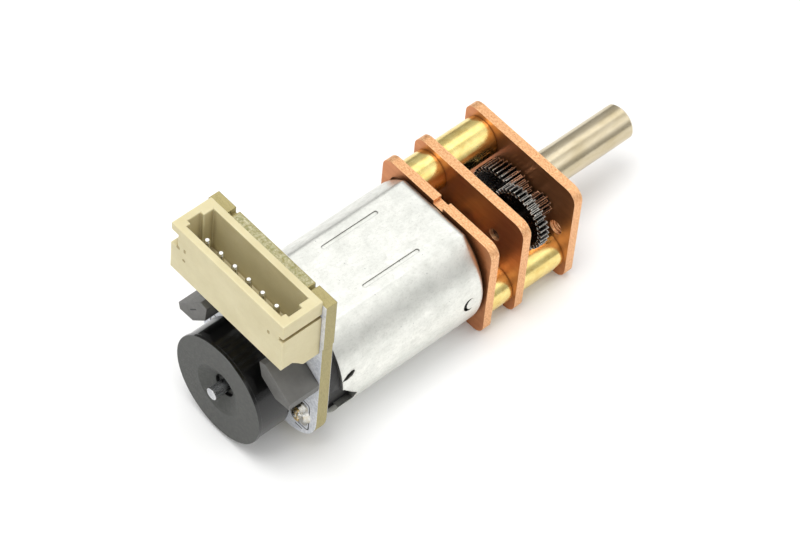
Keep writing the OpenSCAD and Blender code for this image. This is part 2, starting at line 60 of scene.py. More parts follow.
class Shader:
    """A principled material, with short calls for the nodes that this script uses. Texture scales are per millimetre."""

    def __init__(self, name, color, metallic=0.0, roughness=0.5, **sockets):
        self.material = bpy.data.materials.new(name)
        self.material.use_nodes = True
        self.tree = self.material.node_tree
        self.bsdf = self.tree.nodes["Principled BSDF"]
        self.color = color
        self.set("Base Color", (*color, 1))
        self.set("Metallic", metallic)
        self.set("Roughness", roughness)
        for key, value in sockets.items():
            self.set(key.replace("_", " "), value)

    def set(self, socket, value):
        self.bsdf.inputs[socket].default_value = value

    def link(self, output, socket):
        self.tree.links.new(output, self.bsdf.inputs[socket])

    def node(self, kind, **settings):
        made = self.tree.nodes.new(kind)
        for key, value in settings.items():
            setattr(made, key, value)
        return made

    def feed(self, target, value):
        """Gives an input a link or a plain value."""
        if isinstance(value, bpy.types.NodeSocket):
            self.tree.links.new(value, target)
        elif isinstance(value, tuple) and len(value) == 3 and target.type == "RGBA":
            target.default_value = (*value, 1)
        else:
            target.default_value = value

    def place(self, stretch=(1, 1, 1)):
        mapping = self.node("ShaderNodeMapping")
        mapping.inputs["Scale"].default_value = tuple(s / MM for s in stretch)
        source = self.node("ShaderNodeTexCoord")
        self.tree.links.new(source.outputs["Object"], mapping.inputs["Vector"])
        return mapping.outputs["Vector"]

    def normal_part(self, axis):
        """Size of the surface normal's X, Y or Z part, in the piece's own frame."""
        source = self.node("ShaderNodeTexCoord")
        split = self.node("ShaderNodeSeparateXYZ")
        self.tree.links.new(source.outputs["Normal"], split.inputs[0])
        return self.math("ABSOLUTE", split.outputs[axis])

    def position(self, axis):
        """Place along one axis, in millimetres."""
        split = self.node("ShaderNodeSeparateXYZ")
        self.tree.links.new(self.place(), split.inputs[0])
        return split.outputs[axis]

    def noise(self, scale, detail=4.0, rough=0.55, stretch=(1, 1, 1)):
        made = self.node("ShaderNodeTexNoise")
        self.feed(made.inputs["Vector"], self.place(stretch))
        made.inputs["Scale"].default_value = scale
        made.inputs["Detail"].default_value = detail
        made.inputs["Roughness"].default_value = rough
        return made.outputs["Fac"]

    def cells(self, scale, stretch=(1, 1, 1), feature="F1"):
        made = self.node("ShaderNodeTexVoronoi", feature=feature)
        self.feed(made.inputs["Vector"], self.place(stretch))
        made.inputs["Scale"].default_value = scale
        return made.outputs["Distance"]

    def math(self, operation, first, second=0.0):
        made = self.node("ShaderNodeMath", operation=operation)
        self.feed(made.inputs[0], first)
        self.feed(made.inputs[1], second)
        return made.outputs[0]

    def spread(self, value, low, high, to_low=0.0, to_high=1.0):
        """Maps low..high to to_low..to_high, held at both ends."""
        made = self.node("ShaderNodeMapRange")
        for socket, number in zip(("From Min", "From Max", "To Min", "To Max"), (low, high, to_low, to_high)):
            made.inputs[socket].default_value = number
        self.feed(made.inputs["Value"], value)
        return made.outputs["Result"]

    def mix(self, share, first, second):
        made = self.node("ShaderNodeMix", data_type="RGBA")
        self.feed(made.inputs["Factor"], share)
        self.feed(made.inputs[6], first)
        self.feed(made.inputs[7], second)
        return made.outputs[2]

    def edges(self, radius_mm, gain=4.0):
        """0 on open faces, rising to 1 on sharp edges."""
        rounded = self.node("ShaderNodeBevel", samples=6)
        rounded.inputs["Radius"].default_value = radius_mm * MM
        geometry = self.node("ShaderNodeNewGeometry")
        dot = self.node("ShaderNodeVectorMath", operation="DOT_PRODUCT")
        self.tree.links.new(rounded.outputs[0], dot.inputs[0])
        self.tree.links.new(geometry.outputs["Normal"], dot.inputs[1])
        return self.spread(dot.outputs["Value"], 1.0, 1.0 - 1.0 / gain)

    def painted_hollow_shade(self, reach_mm):
        """Painted shade mask from ambient occlusion: 1 in grooves and tight inner corners, 0 on open faces."""
        shade = self.node("ShaderNodeAmbientOcclusion", samples=16)
        shade.inputs["Distance"].default_value = reach_mm * MM
        return self.spread(shade.outputs["AO"], 0.35, 0.85, 1.0, 0.0)

    def bump(self, height, depth_mm, strength=1.0):
        made = self.node("ShaderNodeBump")
        made.inputs["Strength"].default_value = strength
        made.inputs["Distance"].default_value = depth_mm * MM
        self.feed(made.inputs["Height"], height)
        self.link(made.outputs["Normal"], "Normal")


# ---- materials, one function per slot ----

def copper_plate():
    """Bright rolled faces, and sheared rims with a coarse grain along the cut."""
    s = Shader("copper_plate", srgb(214, 142, 100), metallic=0.86)
    on_rim = s.spread(s.normal_part("X"), 0.9, 0.5)
    grain = s.noise(5, 7, 0.75, stretch=(1.8, 1, 1))
    speckle = s.spread(s.cells(7, stretch=(2, 1, 1)), 0.05, 0.3)
    streaks = s.spread(s.noise(1.6, 5, 0.6, stretch=(1, 0.25, 1.4)), 0.35, 0.68)
    face = s.mix(s.math("MULTIPLY", streaks, 0.6), srgb(206, 136, 88), srgb(184, 114, 70))
    rim = s.mix(s.spread(grain, 0.38, 0.62), srgb(208, 144, 96), srgb(252, 206, 156))
    rim = s.mix(s.spread(speckle, 1.0, 0.0, 0.0, 0.4), rim, srgb(172, 108, 66))
    color = s.mix(on_rim, face, rim)
    # Painted shade: darker copper in hollows and inner corners, from ambient occlusion.
    color = s.mix(s.math("MULTIPLY", s.painted_hollow_shade(0.5), 0.3), color, srgb(110, 62, 34))
    # Painted highlight: sharp edges lightened towards pale copper.
    s.link(s.mix(s.math("MULTIPLY", s.edges(0.1), 0.45), color, srgb(252, 212, 166)), "Base Color")
    smooth = s.spread(s.noise(1.1, 3), 0.3, 0.7, 0.3, 0.38)
    s.link(s.math("ADD", smooth, s.math("MULTIPLY", on_rim, 0.14)), "Roughness")
    rolled = s.math("MULTIPLY", s.noise(5, 2, 0.5, stretch=(1, 0.1, 1)), 0.02)
    s.bump(s.math("ADD", s.math("MULTIPLY", on_rim, s.math("ADD", grain, speckle)), rolled), 0.02, 0.5)
    return s.material


def brass():
    s = Shader("brass", srgb(228, 206, 140), metallic=1.0)
    turned = s.noise(2.4, 4, 0.5, stretch=(5, 0.1, 0.1))
    along = s.noise(3, 4, 0.6, stretch=(0.16, 1.6, 1.6))
    dull = s.spread(s.noise(1.5, 4), 0.35, 0.68)
    color = s.mix(dull, srgb(244, 224, 150), srgb(228, 200, 122))
    # Painted shade: darker brass in hollows and inner corners, from ambient occlusion.
    color = s.mix(s.math("MULTIPLY", s.painted_hollow_shade(0.5), 0.6), color, srgb(110, 76, 30))
    pits = s.spread(s.cells(1.7), 0.055, 0.03)
    color = s.mix(s.math("MULTIPLY", pits, 0.7), color, srgb(96, 66, 26))
    # Painted highlight: sharp edges lightened towards pale brass.
    s.link(s.mix(s.math("MULTIPLY", s.edges(0.1), 0.5), color, srgb(250, 232, 168)), "Base Color")
    s.link(s.spread(along, 0.3, 0.7, 0.13, 0.3), "Roughness")
    s.bump(s.math("ADD", turned, s.math("MULTIPLY", along, 0.8)), 0.012, 0.3)
    return s.material


def bright_steel(name, color, dark, rough=(0.2, 0.36)):
    """Plated or ground steel, with fine grain and a little tarnish."""
    s = Shader(name, color, metallic=1.0)
    tone = s.spread(s.noise(1.1, 5), 0.35, 0.7)
    body = s.mix(tone, color, dark)
    # Painted highlight: sharp edges lightened to near white.
    s.link(s.mix(s.math("MULTIPLY", s.edges(0.08), 0.6), body, srgb(250, 250, 248)), "Base Color")
    s.link(s.spread(s.noise(3.0, 5, stretch=(0.3, 1, 1)), 0.3, 0.7, *rough), "Roughness")
    s.bump(s.noise(16, 3, stretch=(0.25, 1, 1)), 0.01, 0.4)
    return s.material


def shaft_steel():
    s = Shader("shaft_steel", srgb(221, 209, 178), metallic=1.0)
    lines = s.noise(8, 4, 0.6, stretch=(2.5, 0.12, 0.12))
    tone = s.spread(s.noise(0.9, 4, stretch=(0.4, 1.3, 1.3)), 0.35, 0.68)
    body = s.mix(tone, srgb(210, 198, 172), srgb(190, 176, 144))
    # Painted highlight: sharp edges lightened towards pale steel.
    s.link(s.mix(s.math("MULTIPLY", s.edges(0.1), 0.5), body, srgb(246, 240, 224)), "Base Color")
    s.link(s.spread(lines, 0.3, 0.7, 0.22, 0.27), "Roughness")
    s.bump(lines, 0.002, 0.25)
    s.set("Anisotropic", 0.3)
    return s.material


def black_steel():
    s = Shader("black_steel", srgb(52, 52, 54), metallic=1.0, roughness=0.28)
    stain = s.spread(s.noise(2.6, 5), 0.35, 0.7)
    body = s.mix(stain, srgb(46, 46, 48), srgb(74, 70, 68))
    # Painted highlight: edges and tooth tips lightened towards pale steel, standing for their glints.
    s.link(s.mix(s.edges(0.1, 9.0), body, srgb(236, 232, 222)), "Base Color")
    s.link(s.spread(s.noise(6, 4), 0.3, 0.7, 0.2, 0.36), "Roughness")
    s.bump(s.noise(14, 4), 0.01, 0.3)
    return s.material


def zinc_steel():
    s = Shader("zinc_steel", srgb(240, 240, 234), metallic=1.0)
    cloud = s.spread(s.noise(0.55, 5, 0.6), 0.34, 0.66)
    mottle = s.spread(s.noise(2.1, 6, 0.7, stretch=(0.6, 1, 1)), 0.36, 0.64)
    body = s.mix(cloud, srgb(238, 238, 232), srgb(226, 227, 221))
    flecks = s.spread(s.noise(5.5, 6, 0.75, stretch=(0.8, 1, 1)), 0.5, 0.7)
    smudges = s.spread(s.noise(0.9, 7, 0.72, stretch=(0.7, 1, 1)), 0.5, 0.68)
    body = s.mix(s.math("MULTIPLY", mottle, 0.3), body, srgb(204, 205, 199))
    body = s.mix(s.math("MULTIPLY", smudges, 0.25), body, srgb(182, 182, 174))
    body = s.mix(s.math("MULTIPLY", flecks, 0.3), body, srgb(160, 160, 152))
    # Painted shade: patchy darkening along the creases and edges, standing for the dark crease lines.
    painted_edge_shading = s.math("MULTIPLY", s.edges(0.5, 3.0), s.spread(s.noise(4.2, 5, 0.7), 0.42, 0.62))
    body = s.mix(s.math("MULTIPLY", painted_edge_shading, 0.5), body, srgb(120, 119, 112))
    spots = s.spread(s.cells(1.15), 0.075, 0.03)
    body = s.mix(s.math("MULTIPLY", spots, 0.5), body, srgb(120, 124, 128))
    # Painted shade: darker in grooves, crimps and inner corners, from ambient occlusion.
    body = s.mix(s.math("MULTIPLY", s.painted_hollow_shade(0.6), 0.85), body, srgb(52, 50, 45))
    # Painted shade: sharp edges such as the groove rims darkened into thin lines.
    s.link(s.mix(s.math("MULTIPLY", s.edges(0.07), 0.5), body, srgb(132, 131, 126)), "Base Color")
    s.link(s.spread(mottle, 0.0, 1.0, 0.3, 0.46), "Roughness")
    dents = s.noise(0.6, 2)
    s.bump(s.math("ADD", s.math("MULTIPLY", dents, 2.0), s.math("ADD", mottle, s.noise(16, 3))), 0.014, 0.3)
    return s.material


def bronze():
    s = Shader("bronze", srgb(176, 132, 78), metallic=1.0, roughness=0.4)
    pores = s.spread(s.cells(9), 0.12, 0.3)
    s.link(s.mix(pores, srgb(88, 60, 32), srgb(190, 146, 88)), "Base Color")
    s.link(s.spread(s.noise(5, 4), 0.3, 0.7, 0.28, 0.5), "Roughness")
    s.bump(pores, 0.02, 0.5)
    return s.material


def plastic(name, light, dark, rough, grain_mm=0.006, painted_edge_shading=None, **sockets):
    """Moulded plastic: soft colour drift, a fine grain, painted shade in hollows, and optional paler edges that are a
    painted edge highlight.
    """
    s = Shader(name, light, **sockets)
    drift = s.spread(s.noise(0.7, 4), 0.35, 0.68)
    body = s.mix(drift, light, dark)
    # Painted shade: darker in hollows and inner corners, from ambient occlusion.
    body = s.mix(s.math("MULTIPLY", s.painted_hollow_shade(1.2), 0.85), body, tuple(0.1 * part for part in dark))
    # Painted highlight: edges lightened where a paler edge colour is given.
    if painted_edge_shading:
        body = s.mix(s.math("MULTIPLY", s.edges(0.12), 0.55), body, painted_edge_shading)
    s.link(body, "Base Color")
    s.link(s.spread(s.noise(4, 5), 0.3, 0.7, *rough), "Roughness")
    s.bump(s.math("ADD", s.noise(22, 3), s.noise(3, 3)), grain_mm, 0.6)
    return s.material


def beige_nylon():
    s = Shader("beige_nylon", srgb(232, 223, 192), roughness=0.45)
    drift = s.spread(s.noise(0.35, 4), 0.35, 0.68)
    flow = s.spread(s.noise(1.6, 5, 0.65, stretch=(1, 0.45, 1)), 0.35, 0.7)
    body = s.mix(drift, srgb(210, 200, 161), srgb(200, 189, 148))
    body = s.mix(s.math("MULTIPLY", flow, 0.3), body, srgb(194, 181, 138))
    specks = s.spread(s.cells(2.3), 0.05, 0.025)
    body = s.mix(s.math("MULTIPLY", specks, 0.6), body, srgb(150, 128, 84))
    # Painted shade: brownish darkening in slots, hollows and inner corners, from ambient occlusion.
    body = s.mix(s.math("MULTIPLY", s.painted_hollow_shade(0.7), 0.75), body, srgb(128, 106, 58))
    # Painted highlight: sharp edges lightened.
    s.link(s.mix(s.math("MULTIPLY", s.edges(0.2), 0.5), body, srgb(223, 214, 181)), "Base Color")
    s.link(s.spread(s.noise(5, 5), 0.3, 0.7, 0.36, 0.54), "Roughness")
    s.set("Subsurface Weight", 0.12)
    s.set("Subsurface Radius", (0.9 * MM, 0.7 * MM, 0.4 * MM))
    s.set("Subsurface Scale", 1.0)
    s.bump(s.math("ADD", s.noise(16, 3), s.noise(1.4, 3)), 0.008, 0.6)
    return s.material


def board_core():
    s = Shader("board", srgb(176, 160, 92), roughness=0.55)
    weave = s.noise(5, 6, 0.7, stretch=(3.2, 0.5, 0.5))
    fibre = s.spread(s.noise(11, 5, 0.7, stretch=(2.5, 0.7, 0.7)), 0.35, 0.65)
    body = s.mix(s.spread(weave, 0.35, 0.68), srgb(172, 158, 104), srgb(134, 122, 68))
    s.link(s.mix(s.math("MULTIPLY", fibre, 0.4), body, srgb(198, 188, 142)), "Base Color")
    s.link(s.spread(fibre, 0, 1, 0.42, 0.68), "Roughness")
    s.bump(s.math("ADD", weave, fibre), 0.03, 0.5)
    return s.material


def torn_board():
    """The rough strip that is left where the board was broken out of its panel."""
    s = Shader("torn_board", srgb(178, 170, 120), roughness=0.7)
    chips = s.spread(s.noise(4.5, 7, 0.75), 0.36, 0.62)
    body = s.mix(chips, srgb(150, 142, 84), srgb(214, 208, 172))
    green = s.spread(s.noise(2.2, 4), 0.5, 0.72)
    s.link(s.mix(s.math("MULTIPLY", green, 0.5), body, srgb(140, 148, 96)), "Base Color")
    s.bump(chips, 0.08, 0.8)
    return s.material


def solder_mask():
    s = Shader("solder_mask", srgb(222, 225, 230), roughness=0.25)
    drift = s.spread(s.noise(1.2, 4), 0.35, 0.68)
    s.link(s.mix(drift, srgb(228, 230, 235), srgb(206, 210, 218)), "Base Color")
    s.link(s.spread(s.noise(4, 4), 0.3, 0.7, 0.18, 0.36), "Roughness")
    s.set("Coat Weight", 0.3)
    s.bump(s.noise(2.5, 4), 0.01, 0.5)
    return s.material


def solder():
    s = Shader("solder", srgb(206, 205, 200), metallic=1.0, roughness=0.2)
    flux = s.spread(s.noise(2.6, 5), 0.45, 0.7)
    s.link(s.mix(s.math("MULTIPLY", flux, 0.6), srgb(216, 215, 210), srgb(170, 148, 92)), "Base Color")
    s.link(s.spread(s.noise(5, 5), 0.3, 0.7, 0.12, 0.34), "Roughness")
    s.bump(s.noise(5, 4), 0.03, 0.5)
    return s.material


def magnet_plastic():
    s = Shader("bonded_magnet", srgb(40, 40, 41), roughness=0.4)
    on_face = s.spread(s.normal_part("X"), 0.35, 0.7)
    scuffs = s.spread(s.noise(3.2, 7, 0.75, stretch=(1, 0.8, 1.5)), 0.46, 0.7)
    fine = s.spread(s.noise(14, 4), 0.35, 0.65)
    face = s.mix(s.math("MULTIPLY", scuffs, 0.5), srgb(64, 65, 62), srgb(98, 99, 93))
    face = s.mix(s.math("MULTIPLY", fine, 0.25), face, srgb(54, 55, 55))
    # The end faces take a lighter scuffed grey than the near-black side: partly their rougher finish, partly painted
    # light standing for how the light falls across them.
    color = s.mix(on_face, srgb(9, 9, 9), face)
    # Painted shade: near black in the dish, the bore and inner corners, from ambient occlusion.
    color = s.mix(s.math("MULTIPLY", s.painted_hollow_shade(0.9), 0.8), color, srgb(8, 8, 8))
    # Painted highlight: sharp edges such as the rim lightened to grey.
    s.link(s.mix(s.math("MULTIPLY", s.edges(0.08), 0.35), color, srgb(120, 120, 118)), "Base Color")
    s.link(s.math("ADD", s.math("MULTIPLY", on_face, 0.38), s.spread(fine, 0, 1, 0.14, 0.22)), "Roughness")
    s.bump(s.math("ADD", s.math("MULTIPLY", s.math("ADD", scuffs, fine), on_face), s.math("MULTIPLY", fine, 0.1)), 0.012, 0.6)
    return s.material


def copper_wire():
    s = Shader("copper_wire", srgb(196, 96, 48), metallic=1.0, roughness=0.22)
    turns = s.noise(6, 2, stretch=(0.1, 1, 1))
    s.link(s.mix(s.spread(turns, 0.4, 0.6), srgb(120, 50, 22), srgb(214, 112, 60)), "Base Color")
    s.bump(turns, 0.05, 0.8)
    s.set("Coat Weight", 0.5)
    return s.material


LOOKS = {
    "copper_plate": copper_plate(),
    "brass": brass(),
    "screw_steel": bright_steel("screw_steel", srgb(206, 207, 210), srgb(170, 172, 176)),
    "bronze": bronze(),
    "shaft_steel": shaft_steel(),
    "black_steel": black_steel(),
    "zinc_steel": zinc_steel(),
    "ferrite": plastic("ferrite", srgb(62, 62, 64), srgb(46, 46, 48), (0.45, 0.65)),
    "core_steel": bright_steel("core_steel", srgb(150, 152, 156), srgb(110, 112, 116), (0.3, 0.5)),
    "copper_wire": copper_wire(),
    "commutator_copper": bright_steel("commutator_copper", srgb(214, 142, 100), srgb(160, 96, 62)),
    "black_plastic": plastic("black_plastic", srgb(44, 43, 43), srgb(34, 33, 34), (0.45, 0.62), painted_edge_shading=srgb(78, 77, 77)),
    "white_nylon": plastic("white_nylon", srgb(232, 230, 224), srgb(216, 213, 204), (0.4, 0.55)),
    "contact_metal": bright_steel("contact_metal", srgb(232, 204, 140), srgb(200, 166, 96)),
    "board": board_core(),
    "beige_nylon": beige_nylon(),
    "tinned_pin": bright_steel("tinned_pin", srgb(226, 226, 222), srgb(196, 194, 188), (0.1, 0.24)),
    "sensor_epoxy": plastic("sensor_epoxy", srgb(100, 99, 96), srgb(88, 87, 84), (0.42, 0.58), painted_edge_shading=srgb(132, 131, 128)),
    "bonded_magnet": magnet_plastic(),
    "chip_black": plastic("chip_black", srgb(40, 40, 42), srgb(28, 28, 30), (0.3, 0.5)),
    "solder": solder(),
}
SLOT_OF = {part["node"]: part["material_slot"] for part in frame["record"]["subparts"]}
SOFT_EDGE = {"connector_housing": 0.1, "motor_can": 0.04, "hall_sensor_a": 0.05, "hall_sensor_b": 0.05}
GEAR_NODES = ("motor_pinion", "first_wheel", "first_pinion", "second_wheel", "second_pinion",
              "third_wheel", "third_pinion", "output_gear")


# ---- edges and shading of the CAD pieces ----

def even_shading(limit_degrees):
    """Modifier tree that welds a mesh and shades it smooth, except across edges sharper than the limit."""
    group = bpy.data.node_groups.new("even_shading", "GeometryNodeTree")
    for way in ("INPUT", "OUTPUT"):
        group.interface.new_socket("Geometry", in_out=way, socket_type="NodeSocketGeometry")
    start = group.nodes.new("NodeGroupInput")
    plain = group.nodes.new("GeometryNodeRemoveAttribute")
    plain.inputs["Name"].default_value = "custom_normal"
    weld = group.nodes.new("GeometryNodeMergeByDistance")
    weld.inputs["Distance"].default_value = 0.0005 * MM
    faces = group.nodes.new("GeometryNodeSetShadeSmooth")
    creases = group.nodes.new("GeometryNodeSetShadeSmooth")
    creases.domain = "EDGE"
    creases.inputs["Shade Smooth"].default_value = False
    angle = group.nodes.new("GeometryNodeInputMeshEdgeAngle")
    sharp = group.nodes.new("FunctionNodeCompare")
    sharp.operation = "GREATER_THAN"
    sharp.inputs["B"].default_value = math.radians(limit_degrees)
    end = group.nodes.new("NodeGroupOutput")
    group.links.new(angle.outputs["Unsigned Angle"], sharp.inputs["A"])
    group.links.new(sharp.outputs[0], creases.inputs["Selection"])
    chain = (start, plain, weld, faces, creases, end)
    for before, after in zip(chain, chain[1:]):
        group.links.new(before.outputs[0], after.inputs[0])
    return group


SHADING = even_shading(32)
FINE_SHADING = even_shading(20)


def soften(piece, width_mm, segments=2, shading=SHADING):
    """Welds the piece and rounds its sharp edges a little."""
    weld = piece.modifiers.new("weld", "NODES")
    weld.node_group = shading
    bevel = piece.modifiers.new("round_edges", "BEVEL")
    bevel.width = width_mm * MM
    bevel.segments = segments
    bevel.limit_method = "ANGLE"
    bevel.angle_limit = math.radians(32)
    bevel.use_clamp_overlap = True
    finish = piece.modifiers.new("shading", "NODES")
    finish.node_group = shading


def dress(piece, slot_name):
    piece.data.materials.clear()
    piece.data.materials.append(LOOKS[slot_name])


for node_name, node_object in NODES.items():
    dress(node_object, SLOT_OF[node_name])
    small = 0.02 if node_name in GEAR_NODES else 0.035
    soften(
        node_object, SOFT_EDGE.get(node_name, small),
        segments=1 if node_name in GEAR_NODES else 2,
        shading=FINE_SHADING if node_name == "encoder_magnet" else SHADING,
    )


# ---- fine detail that rides on the CAD pieces ----

ROOT = "root"
BACK_SIDE, FRONT_SIDE = -1, 1
board_low, board_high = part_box("encoder_board")
housing_low, housing_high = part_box("connector_housing")
terminals_low, terminals_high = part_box("motor_terminals")
plate_low, plate_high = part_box("front_plate")


def add_piece(name, bm, look, body=ROOT, smooth=True):
    """Turns a bmesh in millimetres into a piece that rides on a body."""
    bmesh.ops.recalc_face_normals(bm, faces=bm.faces)
    bmesh.ops.scale(bm, vec=(MM, MM, MM), verts=bm.verts)
    mesh = bpy.data.meshes.new(name)
    bm.to_mesh(mesh)
    bm.free()
    for face in mesh.polygons:
        face.use_smooth = smooth
    piece = bpy.data.objects.new(name, mesh)
    bpy.context.scene.collection.objects.link(piece)
    mesh.materials.append(look)
    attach(piece, body)
    return piece


def loop(centre, half, radius, corner_points=6):
    """Points (y, z) of a rounded rectangle, or of a circle where half is (0, 0)."""
    points = []
    for corner, (sign_y, sign_z) in enumerate(((1, 1), (-1, 1), (-1, -1), (1, -1))):
        for step in range(corner_points):
            angle = math.pi / 2 * (corner + step / (corner_points - 1))
            points.append((
                centre[0] + sign_y * half[0] + radius * math.cos(angle),
                centre[1] + sign_z * half[1] + radius * math.sin(angle),
            ))
    return points


def ring_plate(bm, outer, inner, back, front):
    """A flat closed ring between two outlines of the same number of points."""
    rings = [[bm.verts.new((x, y, z)) for y, z in outline] for outline, x in
             ((outer, back), (outer, front), (inner, front), (inner, back))]
    count = len(outer)
    for ring, following in zip(rings, rings[1:] + rings[:1]):
        for i in range(count):
            j = (i + 1) % count
            bm.faces.new((ring[i], ring[j], following[j], following[i]))


def thin_plate(bm, outline, back, front):
    """A flat closed plate with the given outline."""
    ends = [[bm.verts.new((x, y, z)) for y, z in outline] for x in (back, front)]
    count = len(outline)
    for i in range(count):
        j = (i + 1) % count
        bm.faces.new((ends[0][i], ends[0][j], ends[1][j], ends[1][i]))
    for end in ends:
        bm.faces.new(end)


def on_board(side, height=0.03, sunk=0.005):
    """X range, in millimetres, of something thin that lies on one face of the board's coating."""
    face = (board_low.x if side == BACK_SIDE else board_high.x) / MM + side * MASK_T
    return sorted((face - side * sunk, face + side * height))


MASK_T = 0.02


def board_mask(side, name):
    """The white coating, copied from the board's own flat face and given a thickness."""
    source = NODES["encoder_board"].data
    face_x = board_low.x if side == BACK_SIDE else board_high.x
    bm = bmesh.new()
    bm.from_mesh(source)
    others = [f for f in bm.faces
              if any(abs(v.co.x - face_x) > 0.001 * MM for v in f.verts)]
    bmesh.ops.delete(bm, geom=others, context="FACES")
    bmesh.ops.remove_doubles(bm, verts=bm.verts, dist=0.0005 * MM)
    flat = list(bm.faces)
    raised = bmesh.ops.extrude_face_region(bm, geom=flat)
    top = [v for v in raised["geom"] if isinstance(v, bmesh.types.BMVert)]
    bmesh.ops.translate(bm, verts=top, vec=(side * MASK_T * MM, 0, 0))
    bmesh.ops.scale(bm, vec=(1 / MM, 1 / MM, 1 / MM), verts=bm.verts)
    return add_piece(name, bm, MASK, smooth=False)


def board_break():
    """The rough strip where the board was snapped out of its panel."""
    bm = bmesh.new()
    half_y, columns, rows = 4.05, 120, 12
    back, front = board_low.x / MM + 0.03, board_high.x / MM - 0.03
    top = board_high.z / MM
    grid = []
    for i in range(columns + 1):
        y = half_y * (2 * i / columns - 1)
        line = []
        for j in range(rows + 1):
            x = back + (front - back) * j / rows
            rough = noise.noise((x * 3.1, y * 2.3, 0.7)) + 0.6 * noise.noise((x * 8.3, y * 7.1, 3.1))
            rim = min(1.0, 4 * min(i, columns - i) / columns * 6, 3 * min(j, rows - j) / rows * 1.6)
            line.append(bm.verts.new((x, y, top - 0.13 + rim * (0.055 + 0.05 * rough))))
        grid.append(line)
    base = [[bm.verts.new((v.co.x, v.co.y, top - 0.2)) for v in line] for line in grid]
    for i in range(columns):
        for j in range(rows):
            for sheet in (grid, base):
                bm.faces.new((sheet[i][j], sheet[i + 1][j], sheet[i + 1][j + 1], sheet[i][j + 1]))
    for j in range(rows):
        for i in (0, columns):
            bm.faces.new((grid[i][j], grid[i][j + 1], base[i][j + 1], base[i][j]))
    for i in range(columns):
        for j in (0, rows):
            bm.faces.new((grid[i][j], grid[i + 1][j], base[i + 1][j], base[i][j]))
    return add_piece("board_break", bm, torn_board())


def board_metal():
    """Plated rings round the terminal slots, and small plated through-holes, on both faces."""
    bm = bmesh.new()
    slot_y = (terminals_high.y / MM) - 0.2
    slot_z = (terminals_low.z + terminals_high.z) / 2 / MM
    for side in (BACK_SIDE, FRONT_SIDE):
        back, front = on_board(side)
        for sign in (-1, 1):
            centre = (sign * slot_y, slot_z)
            ring_plate(bm, loop(centre, (0.25, 0.75), 0.55), loop(centre, (0.25, 0.75), 0.06), back, front)
        for angle in (20, 60, 95, 130, 168, 215, 262, 310):
            spot = (3.1 * math.cos(math.radians(angle)), 3.1 * math.sin(math.radians(angle)) + 0.4)
            ring_plate(bm, loop(spot, (0, 0), 0.27), loop(spot, (0, 0), 0.12), back, front)
    return add_piece("board_metal", bm, LOOKS["solder"], smooth=False)


def board_outlines():
    """Plain printed outlines, with no lettering."""
    bm = bmesh.new()
    slot_y = (terminals_high.y / MM) - 0.2
    slot_z = (terminals_low.z + terminals_high.z) / 2 / MM
    line = 0.09
    for side in (BACK_SIDE, FRONT_SIDE):
        back, front = on_board(side, height=0.012)
        for sign in (-1, 1):
            half, radius = (0.55, 1.15), 0.42
            centre = (sign * slot_y, slot_z)
            ring_plate(bm, loop(centre, half, radius), loop(centre, half, radius - line), back, front)
            for z in (-3.1, 1.35):
                bar = loop((sign * (slot_y - 0.1), z), (0.35, 0.02), 0.03)
                thin_plate(bm, bar, back, front)
        ring_plate(bm, loop((0, 0), (0, 0), 2.2, 16), loop((0, 0), (0, 0), 2.2 - line, 16), back, front)
    return add_piece("board_outlines", bm, INK, smooth=False)


def lumpy_solder():
    """Uneven mounds of solder over the motor's terminals."""
    for index, sign in enumerate((-1, 1)):
        bm = bmesh.new()
        bmesh.ops.create_icosphere(bm, subdivisions=5, radius=1)
        centre = Vector((
            board_low.x / MM,
            sign * (terminals_high.y / MM - 0.2),
            (terminals_low.z + terminals_high.z) / 2 / MM,
        ))
        for vert in bm.verts:
            way = vert.co.copy()
            lump = 1 + 0.26 * noise.noise(way * 1.7 + Vector((index * 5, 1, 2)))
            lump += 0.12 * noise.noise(way * 4.5 + Vector((2, index * 3, 1)))
            vert.co = centre + Vector((way.x * 0.5, way.y * 0.72, way.z * 1.0)) * lump
        add_piece("terminal_solder_%d" % (index + 1), bm, LOOKS["solder"])


def sensor_dash():
    """A short dash pressed into the end of the sensor on the +Y side."""
    low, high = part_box("hall_sensor_a")
    end_x = low.x / MM
    bm = bmesh.new()
    centre = ((low.y + high.y) / 2 / MM - 0.1, (low.z + high.z) / 2 / MM - 0.1)
    outline = [(centre[0] + y * 0.7071 - z * 0.7071, centre[1] - y * 0.7071 - z * 0.7071)
               for y, z in loop((0, 0), (0.42, 0.01), 0.045)]
    thin_plate(bm, outline, end_x - 0.012, end_x + 0.01)
    return add_piece("sensor_dash", bm, INK, smooth=False)


def connector_marks():
    """Small mould marks on the housing's rear face."""
    bm = bmesh.new()
    back = housing_low.x / MM
    side = housing_high.y / MM
    top = housing_high.z / MM
    for y, z, half_y, half_z in (
        (-side + 1.5, top - 1.95, 0.06, 0.1),
        (side - 0.8, top - 2.1, 0.1, 0.08),
        (side - 1.5, top - 1.9, 0.04, 0.12),
        (side - 1.45, top - 3.0, 0.09, 0.04),
    ):
        thin_plate(bm, loop((y, z), (half_y, half_z), 0.06, 4), back - 0.01, back + 0.02)
    return add_piece("connector_marks", bm, MARK, smooth=False)


